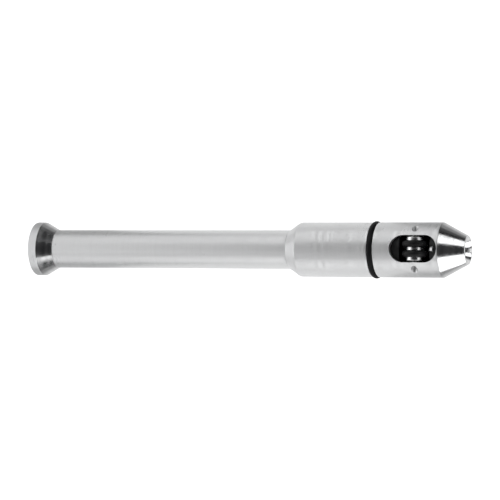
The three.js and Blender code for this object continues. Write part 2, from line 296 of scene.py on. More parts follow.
class Tree:
    """A node tree being written, either a material's or a group's."""

    def __init__(self, tree: NodeTree) -> None:
        """Wraps a tree."""
        self.tree = tree

    def node(self, kind: str, settings: dict | None = None, **inputs: object) -> Node:
        """Adds a node, sets its properties and fills its inputs.

        Args:
            kind: the node's type.
            settings: properties of the node.
            **inputs: a value or an output socket for each input, with _ for a space in its name.

        Returns:
            The node.
        """
        made = self.tree.nodes.new(kind)
        for key, value in (settings or {}).items():
            setattr(made, key, value)
        for key, value in inputs.items():
            self.feed(made.inputs[key.replace("_", " ")], value)
        return made

    def feed(self, socket: NodeSocket, value: object) -> None:
        """Links an output to a socket, or sets the socket's value."""
        if isinstance(value, NodeSocket):
            self.tree.links.new(value, socket)
        else:
            socket.default_value = value

    def math(self, operation: str, a: object, b: object = 0.0) -> NodeSocket:
        """Adds a math node and returns its output."""
        made = self.node("ShaderNodeMath", {"operation": operation})
        self.feed(made.inputs[0], a)
        self.feed(made.inputs[1], b)
        return made.outputs[0]

    def mix(self, factor: object, a: object, b: object) -> NodeSocket:
        """Mixes two colours and returns the result."""
        made = self.node("ShaderNodeMix", {"data_type": "RGBA"})
        self.feed(made.inputs["Factor"], factor)
        self.feed(made.inputs[6], a)
        self.feed(made.inputs[7], b)
        return made.outputs[2]

    def span(self, value: object, low: float, high: float, to_low: float, to_high: float) -> NodeSocket:
        """Maps a range of values onto another, clamped."""
        made = self.node(
            "ShaderNodeMapRange", Value=value, From_Min=low, From_Max=high, To_Min=to_low, To_Max=to_high
        )
        return made.outputs[0]


def make_group(
    name: str, inputs: dict[str, tuple[str, object]], outputs: list[str], write: Callable
) -> NodeTree:
    """Builds a shader node group.

    Args:
        name: the group's name.
        inputs: socket name to its kind and default value.
        outputs: names of the float outputs.
        write: function that takes the tree and the input sockets and returns the output values in order.

    Returns:
        The group.
    """
    group = bpy.data.node_groups.new(name, "ShaderNodeTree")
    for label, (kind, default) in inputs.items():
        socket = group.interface.new_socket(label, in_out="INPUT", socket_type="NodeSocket" + kind)
        if default is not None:
            socket.default_value = default
    for label in outputs:
        group.interface.new_socket(label, in_out="OUTPUT", socket_type="NodeSocketFloat")
    tree = Tree(group)
    entry = tree.node("NodeGroupInput")
    end = tree.node("NodeGroupOutput")
    for socket, value in zip(end.inputs, write(tree, entry.outputs)):
        tree.feed(socket, value)
    return group


def write_grain(tree: Tree, given: bpy.types.bpy_prop_collection) -> tuple:
    """Blasted grain: pits of one size with finer ones between them."""
    place, density = given["Vector"], given["Density"]
    coarse = tree.node("ShaderNodeTexNoise", Vector=place, Scale=density, Detail=2.0, Roughness=0.6)
    fine = tree.node("ShaderNodeTexVoronoi", Vector=place, Scale=tree.math("MULTIPLY", density, 1.7))
    height = tree.math("ADD", coarse.outputs["Fac"], tree.math("MULTIPLY", fine.outputs["Distance"], 0.4))
    return height, coarse.outputs["Fac"]


def write_rings(tree: Tree, given: bpy.types.bpy_prop_collection) -> tuple:
    """Turning marks: grooves round the axis, uneven in depth, with broad bands between tool passes."""
    fine_place = tree.math("MULTIPLY", given["Place"], given["Density"])
    one_way = {"noise_dimensions": "1D"}
    fine = tree.node("ShaderNodeTexNoise", one_way, W=fine_place, Scale=1.0, Detail=3.0, Roughness=0.7)
    band_place = tree.math("MULTIPLY", fine_place, 0.13)
    band = tree.node("ShaderNodeTexNoise", one_way, W=band_place, Scale=1.0, Detail=2.0)
    height = tree.math("MULTIPLY", fine.outputs["Fac"], tree.span(band.outputs["Fac"], 0.3, 0.7, 0.4, 1.0))
    return height, band.outputs["Fac"]


def write_handling(tree: Tree, given: bpy.types.bpy_prop_collection) -> tuple:
    """Marks of handling: soft cloudy patches, and sparse fine specks."""
    place, density = given["Vector"], given["Density"]
    cloud = tree.node("ShaderNodeTexNoise", Vector=place, Scale=density, Detail=4.0, Roughness=0.55)
    patches = tree.span(cloud.outputs["Fac"], 0.42, 0.68, 0.0, 1.0)
    specks = tree.node("ShaderNodeTexVoronoi", Vector=place, Scale=tree.math("MULTIPLY", density, 14.0))
    sparse = tree.span(specks.outputs["Distance"], 0.0, 0.09, 1.0, 0.0)
    return patches, sparse


class Effects:
    """The node groups that the finishes share."""

    def __init__(self) -> None:
        """Builds each group once."""
        texture = ["Height", "Tone"]
        pits = {"Vector": ("Vector", None), "Density": ("Float", 6000.0)}
        grooves = {"Place": ("Float", 0.0), "Density": ("Float", 9000.0)}
        marks = {"Vector": ("Vector", None), "Density": ("Float", 60.0)}
        self.grain = make_group("Blasted grain", pits, texture, write_grain)
        self.rings = make_group("Turning marks", grooves, texture, write_rings)
        self.handling = make_group("Handling marks", marks, ["Patches", "Specks"], write_handling)


class MaterialWriter(Tree):
    """A material being written around one Principled BSDF."""

    def __init__(self, name: str, effects: Effects) -> None:
        """Starts an empty material."""
        self.material = bpy.data.materials.new(name)
        self.material.use_nodes = True
        super().__init__(self.material.node_tree)
        self.effects = effects
        self.shader = self.tree.nodes["Principled BSDF"]
        self.place = self.node("ShaderNodeTexCoord").outputs["Object"]

    def group(self, which: NodeTree, **inputs: object) -> Node:
        """Places a shared effect in the material."""
        made = self.tree.nodes.new("ShaderNodeGroup")
        made.node_tree = which
        for key, value in inputs.items():
            self.feed(made.inputs[key], value)
        return made

    def ring_place(self, centre: Vector, across: bool) -> NodeSocket:
        """Gives a point's place along the turning axis less its distance from it: marks ring every face."""
        moved = self.node("ShaderNodeVectorMath", {"operation": "SUBTRACT"})
        self.feed(moved.inputs[0], self.place)
        self.feed(moved.inputs[1], centre)
        parts = self.node("ShaderNodeSeparateXYZ", Vector=moved.outputs[0]).outputs
        along, side = (parts["Y"], parts["X"]) if across else (parts["X"], parts["Y"])
        up = parts["Z"]
        squares = self.math("ADD", self.math("MULTIPLY", side, side), self.math("MULTIPLY", up, up))
        return self.math("SUBTRACT", along, self.math("SQRT", squares))

    def bump(self, height: object, strength: float, distance: float, below: object = None) -> NodeSocket:
        """Adds a bump node and returns its normal."""
        made = self.node("ShaderNodeBump", Height=height, Strength=strength, Distance=distance)
        if below is not None:
            self.feed(made.inputs["Normal"], below)
        return made.outputs["Normal"]

    def finish(self, **inputs: object) -> Material:
        """Fills the shader's inputs and returns the material."""
        for key, value in inputs.items():
            self.feed(self.shader.inputs[key.replace("_", " ")], value)
        return self.material


@dataclass(frozen=True)
class BlastedMetal:
    """Finely turned, bead-blasted and clear-anodised aluminium: a satin grain over faint rings."""

    name: str
    centre: Vector
    tint: Colour = (0.80, 0.805, 0.81, 1.0)
    smooth: float = 0.3
    rough: float = 0.68
    metallic: float = 0.72
    density: float = 5200.0
    depth: float = 1.2e-5
    ring_density: float = 5200.0
    ring_depth: float = 1e-5
    marks_density: float = 70.0

    def build(self, effects: Effects) -> Material:
        """Writes the material."""
        w = MaterialWriter(self.name, effects)
        grain = w.group(effects.grain, Vector=w.place, Density=self.density)
        rings = w.group(effects.rings, Place=w.ring_place(self.centre, False), Density=self.ring_density)
        marks = w.group(effects.handling, Vector=w.place, Density=self.marks_density)
        dull = tuple(0.9 * c for c in self.tint[:3]) + (1.0,)
        streaks = w.math("MULTIPLY", rings.outputs["Tone"], 0.25)
        tone = w.math("ADD", w.math("MULTIPLY", grain.outputs["Tone"], 0.75), streaks)
        colour = w.mix(w.span(tone, 0.38, 0.62, 0.0, 1.0), dull, self.tint)
        pits = w.span(tone, 0.4, 0.6, self.smooth, self.rough)
        rough = w.math("SUBTRACT", pits, w.math("MULTIPLY", marks.outputs["Patches"], 0.03))
        grooves = w.bump(rings.outputs["Height"], 0.8, self.ring_depth)
        return w.finish(
            Base_Color=colour, Metallic=self.metallic, Roughness=rough,
            Normal=w.bump(grain.outputs["Height"], 0.6, self.depth, grooves),
        )


@dataclass(frozen=True)
class TurnedMetal:
    """Bright metal straight from the lathe, with marks that run round its axis."""

    name: str
    tint: Colour
    roughness: float
    centre: Vector
    across: bool = False
    density: float = 9000.0
    depth: float = 4e-6
    marks_density: float = 110.0

    def build(self, effects: Effects) -> Material:
        """Writes the material."""
        w = MaterialWriter(self.name, effects)
        rings = w.group(effects.rings, Place=w.ring_place(self.centre, self.across), Density=self.density)
        marks = w.group(effects.handling, Vector=w.place, Density=self.marks_density)
        worn = tuple(0.9 * c for c in self.tint[:3]) + (1.0,)
        colour = w.mix(w.span(rings.outputs["Tone"], 0.35, 0.65, 0.0, 0.6), self.tint, worn)
        rough = w.math(
            "ADD", w.span(rings.outputs["Tone"], 0.3, 0.7, self.roughness * 0.8, self.roughness * 1.25),
            w.math("MULTIPLY", marks.outputs["Patches"], 0.03),
        )
        return w.finish(
            Base_Color=colour, Metallic=1.0, Roughness=rough,
            Normal=w.bump(rings.outputs["Height"], 1.0, self.depth),
        )


@dataclass(frozen=True)
class BlackMaterial:
    """Black rubber or plastic: a deep tone, a soft sheen, faint handling marks and a very fine skin."""

    name: str
    tint: Colour
    roughness: float
    density: float
    depth: float
    specular: float = 0.5
    marks_density: float = 160.0

    def build(self, effects: Effects) -> Material:
        """Writes the material."""
        w = MaterialWriter(self.name, effects)
        grain = w.group(effects.grain, Vector=w.place, Density=self.density)
        marks = w.group(effects.handling, Vector=w.place, Density=self.marks_density)
        dusty = tuple(c + 0.03 for c in self.tint[:3]) + (1.0,)
        dust = w.math("MULTIPLY", marks.outputs["Patches"], 0.35)
        colour = w.mix(w.math("MAXIMUM", dust, marks.outputs["Specks"]), self.tint, dusty)
        rough = w.span(grain.outputs["Tone"], 0.3, 0.7, self.roughness - 0.06, self.roughness + 0.08)
        w.shader.inputs["Specular IOR Level"].default_value = self.specular
        return w.finish(
            Base_Color=colour, Metallic=0.0, Roughness=rough,
            Normal=w.bump(grain.outputs["Height"], 0.5, self.depth),
        )


# ---------------------------------------------------------------- the pen


@dataclass(frozen=True)
class Places:
    """Where the frame puts things, in the row frame."""

    axis_z: float
    tail: float
    tip: float
    roller: Vector
    idler: Vector

    @classmethod
    def read(cls) -> Places:
        """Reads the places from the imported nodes."""
        def middle(node: str) -> Vector:
            low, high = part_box(node)
            return (low + high) / 2
        return cls(
            axis_z=middle("seal_ring").z,
            tail=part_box("tail_cap")[0].x,
            tip=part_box("nose_cone")[1].x,
            roller=middle("roller_axle"),
            idler=middle("idler_axle"),
        )

    def station(self, millimetres: float) -> Vector:
        """Gives the point of the pen's axis at a distance from the tail's end face."""
        return Vector((self.tail + millimetres * MM, 0.0, self.axis_z))

    @property
    def roller_station(self) -> float:
        """The roller's distance from the tail, in millimetres."""
        return (self.roller.x - self.tail) / MM


class Finishes:
    """Every material of the pen, by name."""

    def __init__(self, places: Places) -> None:
        """Builds the shared effects and the materials."""
        effects = Effects()
        axis = Vector((0.0, 0.0, places.axis_z))
        roller = places.roller
        silver = (0.88, 0.885, 0.89, 1.0)
        steel = (0.72, 0.725, 0.73, 1.0)
        # near-black screw steel: painted shade of the holes that the axle screws sit in
        shade_dark_steel = (0.05, 0.05, 0.053, 1.0)
        dull = (0.62, 0.62, 0.63, 1.0)
        grey = (0.55, 0.55, 0.57, 1.0)
        bronze = (0.62, 0.44, 0.22, 1.0)
        deep_black = (0.004, 0.004, 0.005, 1.0)
        tyre_black = (0.007, 0.007, 0.008, 1.0)
        acetal_black = (0.006, 0.006, 0.007, 1.0)
        self.blasted = BlastedMetal("Blasted aluminium", axis).build(effects)
        self.turned = TurnedMetal(
            "Bright turned aluminium", silver, 0.17, axis, density=3200.0, depth=9e-6
        ).build(effects)
        self.cut_edge = TurnedMetal("Bright cut edge", silver, 0.45, axis, density=14000.0).build(effects)
        self.bore = TurnedMetal("Bored aluminium", dull, 0.4, axis, density=4000.0).build(effects)
        self.spool = TurnedMetal("Polished spool", silver, 0.24, roller, True, 9000.0, 3e-6).build(effects)
        self.steel = TurnedMetal(
            "Ground steel", steel, 0.22, axis, density=16000.0, depth=2e-6
        ).build(effects)
        self.pin = TurnedMetal("Ground pin", steel, 0.2, roller, True, 16000.0, 2e-6).build(effects)
        self.idler = TurnedMetal(
            "Turned idler", steel, 0.25, places.idler, True, 12000.0, 2e-6
        ).build(effects)
        # screw steel darkened to near black as painted shade; the bright pin steel on the screws' rims is a
        # painted glint
        self.screw = TurnedMetal("Screw steel darkened as painted shade", shade_dark_steel, 0.4, roller, True, 12000.0).build(effects)
        self.bronze = TurnedMetal("Bearing bronze", bronze, 0.35, roller, True).build(effects)
        self.wire = TurnedMetal("Spring wire", grey, 0.3, axis, density=20000.0).build(effects)
        self.rubber = BlackMaterial("Black rubber", deep_black, 0.55, 9000.0, 4e-6, 0.14).build(effects)
        self.tyre = BlackMaterial("Tyre rubber", tyre_black, 0.45, 7000.0, 8e-6, 0.22).build(effects)
        self.plastic = BlackMaterial("Black plastic", acetal_black, 0.4, 2200.0, 5e-5, 0.4).build(effects)


@dataclass
class Assembly:
    """Common work of every sub-assembly: dressing a mesh and tying it to the frame."""

    places: Places
    finishes: Finishes

    def add(
        self, node: str, body: str, slot: str, bm: BMesh, *materials: Material
    ) -> Object:
        """Makes a finished piece that stands for a CAD node.

        Args:
            node: the CAD node that it replaces.
            body: the body that it moves with.
            slot: the record's material slot; not used.
            bm: its mesh, in place.
            *materials: its materials, by index.

        Returns:
            The piece.
        """
        for edge in bm.edges:
            edge.smooth = not (len(edge.link_faces) == 2 and edge.calc_face_angle(0.0) > SHADED_SHARP)
        for face in bm.faces:
            face.smooth = True
        piece = new_object(node + "_finished", bm)
        for material in materials:
            piece.data.materials.append(material)
        weighted = piece.modifiers.new("Weighted normals", "WEIGHTED_NORMAL")
        weighted.keep_sharp = True
        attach(piece, body)
        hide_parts(node)
        LOG.info("%s: %d faces on %s", piece.name, len(piece.data.polygons), body)
        return piece


@dataclass
class Body(Assembly):
    """Tail cap, handle, barrel, seal ring and head.

    Sizes in millimetres, stations counted from the tail's end face.
    """

    body_r: float = 10.0
    tail_r: float = 10.1
    handle_r: float = 7.155
    rim_end: float = 3.25
    tail_cone_end: float = 8.7
    tail_mouth_r: float = 5.6
    tail_bore_r: float = 3.0
    tail_spigot_end: float = 17.0
    handle_bore_r: float = 4.5
    handle_spigot_r: float = 5.9
    handle_spigot_end: float = 112.0
    shoulder_start: float = 102.16
    shoulder_end: float = 106.4
    barrel_end: float = 134.2
    barrel_bore_r: float = 8.3
    barrel_bore_start: float = 117.0
    seal_r: float = 10.45
    seal_section_r: float = 1.12
    seal_shift: float = -0.07
    rim_round: float = 0.22
    rim_bright: float = 0.23
    head_start: float = 136.3
    head_spigot_r: float = 8.0
    head_spigot_start: float = 119.0
    spigot_bore_r: float = 6.2
    head_bore_r: float = 8.1
    head_bore_start: float = 138.0
    nose_start: float = 160.5
    slip: float = 0.3
    seam: float = 0.04
    window_length: float = 17.65
    window_width: float = 9.85
    window_edge: float = 0.2
    axle_hole_r: float = 1.2

    def build(self) -> None:
        """Makes the body's pieces from tail to head."""
        self.tail_cap()
        self.handle()
        self.barrel()
        self.seal_ring()
        self.head()

    def tail_cap(self) -> None:
        """Flared tail: a blasted rim, a bright turned cone and a funnel mouth."""
        s = self
        bm = turn([
            Corner(0, s.tail_mouth_r, 0.3),
            Corner(0, s.tail_r, 0.3),
            Corner(s.rim_end, s.tail_r, 0.06),
            Corner(s.tail_cone_end - s.seam, s.handle_r + 0.02, 0.05),
            Corner(s.tail_cone_end - s.seam, s.handle_bore_r - s.slip),
            Corner(s.tail_spigot_end, s.handle_bore_r - s.slip, 0.3),
            Corner(s.tail_spigot_end, s.tail_bore_r, 0.15),
            Corner(s.tail_mouth_r - s.tail_bore_r, s.tail_bore_r, 0.4),
        ])
        paint(bm, 1, lambda c: c.x > s.rim_end * MM and off_axis(c) > s.handle_bore_r * MM)
        paint(bm, 2, lambda c: off_axis(c) < (s.tail_mouth_r + 0.25) * MM)
        f = self.finishes
        place(bm, self.places.station(0))
        self.add("tail_cap", "body", "polished_aluminium", bm, f.blasted, f.turned, f.bore)

    def handle(self) -> None:
        """Slim blasted tube with a spigot inside the barrel."""
        s = self
        bm = turn([
            Corner(s.tail_cone_end + s.seam, s.handle_bore_r, 0.2),
            Corner(s.tail_cone_end + s.seam, s.handle_r, 0.06),
            Corner(s.shoulder_start - s.seam, s.handle_r, 0.04),
            Corner(s.shoulder_start - s.seam, s.handle_spigot_r),
            Corner(s.handle_spigot_end, s.handle_spigot_r, 0.3),
            Corner(s.handle_spigot_end, s.handle_bore_r, 0.2),
        ])
        paint(bm, 1, lambda c: off_axis(c) < (s.handle_bore_r + 0.05) * MM)
        place(bm, self.places.station(0))
        self.add("handle_tube", "body", "blasted_aluminium", bm, self.finishes.blasted, self.finishes.bore)

    def barrel(self) -> None:
        """Wide blasted barrel with its shoulder cone, and a bright cut edge at the seal ring."""
        s = self
        bm = turn([
            Corner(s.shoulder_start, s.handle_spigot_r + s.slip),
            Corner(s.shoulder_start, s.handle_r + 0.02, 0.04),
            Corner(s.shoulder_end, s.body_r, 0.5),
            Corner(s.barrel_end, s.body_r, s.rim_round),
            Corner(s.barrel_end, s.barrel_bore_r, 0.1),
            Corner(s.barrel_bore_start, s.barrel_bore_r),
            Corner(s.barrel_bore_start, s.handle_spigot_r + s.slip),
        ])
        paint(bm, 1, lambda c: c.x > (s.barrel_end - s.rim_bright) * MM)
        place(bm, self.places.station(0))
        self.add("barrel", "body", "blasted_aluminium", bm, self.finishes.blasted, self.finishes.cut_edge)

    def seal_ring(self) -> None:
        """Rubber ring of round section in the groove between barrel and head."""
        s = self
        middle = (s.barrel_end + s.head_start) / 2 + s.seal_shift
        bm = rubber_ring(s.seal_r, s.seal_section_r, 160)
        place(bm, self.places.station(middle))
        self.add("seal_ring", "body", "black_rubber", bm, self.finishes.rubber)

    def head(self) -> None:
        """Blasted head with the roller window and the axle's holes, its window edge cut bright."""
        s = self
        roller = self.places.roller_station
        shell = turn([
            Corner(s.head_spigot_start, s.spigot_bore_r),
            Corner(s.head_spigot_start, s.head_spigot_r),
            Corner(s.head_start, s.head_spigot_r),
            Corner(s.head_start, s.body_r, s.rim_round),
            Corner(s.nose_start - s.seam, s.body_r, 0.05),
            Corner(s.nose_start - s.seam, s.head_bore_r),
            Corner(s.head_bore_start, s.head_bore_r),
            Corner(s.head_bore_start, s.spigot_bore_r),
        ])
        bright_end = s.head_start + s.rim_bright
        paint(shell, 1, lambda c: c.x < bright_end * MM and off_axis(c) > s.head_spigot_r * MM)
        window = stadium(s.window_length * MM, s.window_width * MM, 2 * s.body_r * MM)
        shift(window, (roller * MM, 0, 0))
        reach = s.body_r + 2
        hole = cylinder(-reach, reach, s.axle_hole_r, 32)
        place(hole, Vector((roller * MM, 0, self.places.roller.z - self.places.axis_z)), Axis.ACROSS)
        for tool in (window, hole):
            paint(tool, 1, lambda c: True)
        bm = carve(shell, [window, hole])
        self.cut_bright_edges(bm)
        place(bm, self.places.station(0))
        f = self.finishes
        self.add("head_shell", "body", "blasted_aluminium", bm, f.blasted, f.cut_edge)

    def cut_bright_edges(self, bm: BMesh) -> None:
        """Rounds the outer edges of the window and the axle holes."""
        s = self
        def on_outside(v: BMVert) -> bool:
            inside_head = s.head_start + 1 < v.co.x / MM < s.nose_start - 0.2
            return inside_head and abs(off_axis(v.co) - s.body_r * MM) < 0.02 * MM
        rims = [e for e in sharp_edges(bm, math.radians(25)) if all(on_outside(v) for v in e.verts)]
        round_edges(bm, rims, s.window_edge * MM, 2, 1)


def rubber_ring(outer_r: float, section_r: float, steps: int) -> BMesh:
    """Turns a ring of round section about the X axis.

    Args:
        outer_r: the ring's outer radius, in millimetres.
        section_r: the radius of its section, in millimetres.
        steps: facets round the axis.

    Returns:
        The ring's mesh.
    """
    bm = bmesh.new()
    bmesh.ops.create_circle(bm, cap_ends=False, segments=32, radius=section_r * MM)
    rotate(bm, QUARTER_TURN, "X")
    shift(bm, (0, 0, (outer_r - section_r) * MM))
    sweep_round(bm, bm.verts[:] + bm.edges[:], steps)
    return bm


@dataclass
class Nose(Assembly):
    """Nose cone and the two rod guides.

    Sizes in millimetres, stations counted from the tail's end face.
    """

    start: float = 160.5
    end: float = 169.5
    base_r: float = 10.0
    tip_r: float = 5.25
    tip_round: float = 0.16
    spigot_r: float = 5.4
    spigot_start: float = 158.6
    guide_bore_r: float = 4.0
    guide_bore_end: float = 163.0
    bore_r: float = 3.4
    mouth_r: float = 4.85
    mouth_depth: float = 2.2
    guide_r: float = 2.6
    guide_inner_r: float = 1.9
    guide_height: float = 1.1
    guide_reach: float = 4.0
    front_guide_end: float = 162.5
    lead_in: float = 0.4
    shoe_start: float = 4.85
    shoe_end: float = 6.2
    shoe_half: float = 0.65
    shoe_high: float = 5.95
    shoe_low: float = 5.45
    funnel_r: float = 5.8
    funnel_start: float = 120.0
    funnel_end: float = 126.0

    def build(self) -> None:
        """Makes the nose's pieces."""
        self.nose_cone()
        self.front_guide()
        self.rear_guide()

    def nose_cone(self) -> None:
        """Bright turned cone with a rounded lip and a countersunk bore."""
        s = self
        bm = turn([
            Corner(s.spigot_start, s.guide_bore_r, 0.15),
            Corner(s.spigot_start, s.spigot_r, 0.25),
            Corner(s.start + 0.04, s.spigot_r),
            Corner(s.start + 0.04, s.base_r, 0.08),
            Corner(s.end, s.tip_r, s.tip_round),
            Corner(s.end, s.mouth_r, 0.1),
            Corner(s.end - s.mouth_depth, s.bore_r, 0.25),
            Corner(s.guide_bore_end, s.bore_r, 0.1),
            Corner(s.guide_bore_end, s.guide_bore_r),
        ], 160, 4)
        place(bm, self.places.station(0))
        self.add("nose_cone", "body", "polished_aluminium", bm, self.finishes.turned)

    def front_guide(self) -> None:
        """Steel bush that takes the rod from the roller to the nose, with a raised shoe on its entry."""
        s = self
        start = self.places.roller_station + s.guide_reach
        bush = turn([
            Corner(start, s.guide_inner_r + s.lead_in, 0.08),
            Corner(start, s.guide_r, 0.15),
            Corner(s.front_guide_end, s.guide_r, 0.1),
            Corner(s.front_guide_end, s.guide_inner_r, 0.1),
            Corner(start + s.lead_in, s.guide_inner_r),
        ], 64)
        shift(bush, (0, 0, s.guide_height * MM))
        shoe = self.shoe()
        shift(shoe, (self.places.roller_station * MM, 0, 0))
        bm = place(carve(bush, [], (shoe,)), self.places.station(0))
        self.add("front_guide", "body", "steel", bm, self.finishes.steel)

    def shoe(self) -> BMesh:
        """Makes the front guide's shoe, placed from the roller: its top slopes down to one side."""
        s = self
        foot = s.guide_height + s.guide_inner_r + s.lead_in / 2
        low = Vector((s.shoe_start, -s.shoe_half, foot))
        high = Vector((s.shoe_end, s.shoe_half, s.shoe_high))
        bm = block(low * MM, high * MM)
        for v in bm.verts:
            if v.co.z > (foot + 0.5) * MM and v.co.y > 0:
                v.co.z = s.shoe_low * MM
        round_edges(bm, sharp_edges(bm, math.radians(20)), 0.1 * MM)
        return bm

    def rear_guide(self) -> None:
        """Black funnel and tube that lead the rod to the roller."""
        s = self
        end = self.places.roller_station - s.guide_reach
        rod_line = Vector((0, 0, s.guide_height * MM))
        funnel = turn([
            Corner(s.funnel_end - 1, 0),
            Corner(s.funnel_start, s.funnel_r - 0.35),
            Corner(s.funnel_start, s.funnel_r, 0.1),
            Corner(s.funnel_end, s.funnel_r, 0.3),
            Corner(s.funnel_end, 0),
        ], 64)
        tube = turn([
            Corner(s.funnel_end - 1, 0), Corner(s.funnel_end - 1, s.guide_r),
            Corner(end, s.guide_r, 0.2), Corner(end, 0),
        ], 48)
        bore = cylinder(s.funnel_end - 2.5, end + 1, s.guide_inner_r, 48)
        for bm in (tube, bore):
            place(bm, rod_line)
        bm = carve(funnel, [bore], (tube,))
        place(bm, self.places.station(0))
        self.add("rear_guide", "body", "black_acetal", bm, self.finishes.plastic)


@dataclass
class ThumbRoller(Assembly):
    """Spool, tyres, bushes, axle, washers and axle screws.

    Sizes in millimetres, from the roller's middle.
    """

    tyre_r: float = 4.65
    tyre_section_r: float = 1.175
    tyre_offset: float = 1.78
    spool_r: float = 3.13
    spool_half: float = 4.2
    groove_r: float = 2.25
    bush_r: float = 1.55
    bush_bore_r: float = 1.08
    bush_length: float = 1.9
    axle_r: float = 1.0
    axle_half: float = 5.2
    washer_r: float = 2.0
    washer_start: float = 4.33
    washer_end: float = 4.67
    screw_r: float = 1.1
    screw_start: float = 5.35
    screw_end: float = 6.25
    socket_r: float = 0.62
    socket_depth: float = 0.55

    def build(self) -> None:
        """Makes the roller's pieces."""
        self.spool()
        self.axle()
        for side, flip in (("left", False), ("right", True)):
            self.side_pieces(side, flip)

    def spool(self) -> None:
        """Polished spool with a round-bottomed groove for each tyre."""
        s = self
        half_groove = s.tyre_section_r + 0.05
        outline = [Corner(-s.spool_half, s.bush_r + 0.05, 0.1), Corner(-s.spool_half, s.spool_r, 0.15)]
        for middle in (-s.tyre_offset, s.tyre_offset):
            outline += [
                Corner(middle - half_groove, s.spool_r, 0.06),
                Corner(middle - half_groove, s.groove_r, 0.25),
                Corner(middle + half_groove, s.groove_r, 0.25),
                Corner(middle + half_groove, s.spool_r, 0.06),
            ]
        outline += [Corner(s.spool_half, s.spool_r, 0.15), Corner(s.spool_half, s.bush_r + 0.05, 0.1)]
        bm = place(turn(outline, 96), self.places.roller, Axis.ACROSS)
        self.add("feed_roller", "thumb_roller", "polished_spool", bm, self.finishes.spool)

    def axle(self) -> None:
        """Ground pin that the roller turns on."""
        s = self
        bm = cylinder(-s.axle_half, s.axle_half, s.axle_r, 48, 0.15)
        place(bm, self.places.roller, Axis.ACROSS)
        self.add("roller_axle", "body", "steel", bm, self.finishes.pin)

    def side_pieces(self, side: str, flip: bool) -> None:
        """Makes one side's tyre, bush, washer and axle screw."""
        s = self
        f = self.finishes
        centre = self.places.roller
        offset = Vector((0, (-1 if flip else 1) * s.tyre_offset * MM, 0))
        tyre = place(rubber_ring(s.tyre_r, s.tyre_section_r, 120), centre + offset, Axis.ACROSS, flip)
        self.add("roller_tyre_" + side, "thumb_roller", "black_rubber", tyre, f.tyre)
        bush = turn(self.sleeve(s.spool_half - s.bush_length, s.spool_half, s.bush_bore_r, s.bush_r), 48)
        place(bush, centre, Axis.ACROSS, flip)
        self.add("roller_bush_" + side, "thumb_roller", "bronze", bush, f.bronze)
        washer = turn(self.sleeve(s.washer_start, s.washer_end, s.bush_bore_r, s.washer_r), 64)
        place(washer, centre, Axis.ACROSS, flip)
        self.add("roller_washer_" + side, "body", "black_acetal", washer, f.plastic)
        # the screw's near-black steel is painted shade of its hole; the bright pin steel on its rim is a
        # painted glint
        screw = place(self.grub_screw(), centre, Axis.ACROSS, flip)
        self.add("axle_screw_" + side, "body", "screw_steel", screw, f.screw, f.pin)

    @staticmethod
    def sleeve(start: float, end: float, inner: float, outer: float, edge: float = 0.06) -> list[Corner]:
        """Gives the outline of a short tube with broken edges."""
        corners = (start, inner), (start, outer), (end, outer), (end, inner)
        return [Corner(x, r, edge) for x, r in corners]

    def grub_screw(self) -> BMesh:
        """Makes a short screw with a broken rim and a hexagon socket in its outer face. Its near-black
        steel is painted shade of the hole round it, and its rim takes material 1, the bright pin steel, as
        a painted glint.
        """
        s = self
        body = turn([
            Corner(s.screw_start, 0), Corner(s.screw_start, s.screw_r, 0.1),
            Corner(s.screw_end, s.screw_r, 0.18), Corner(s.screw_end, 0),
        ], 48, 3, 1)
        floor = s.screw_end - s.socket_depth
        return carve(body, [cylinder(floor, s.screw_end + 1, s.socket_r, 6)])


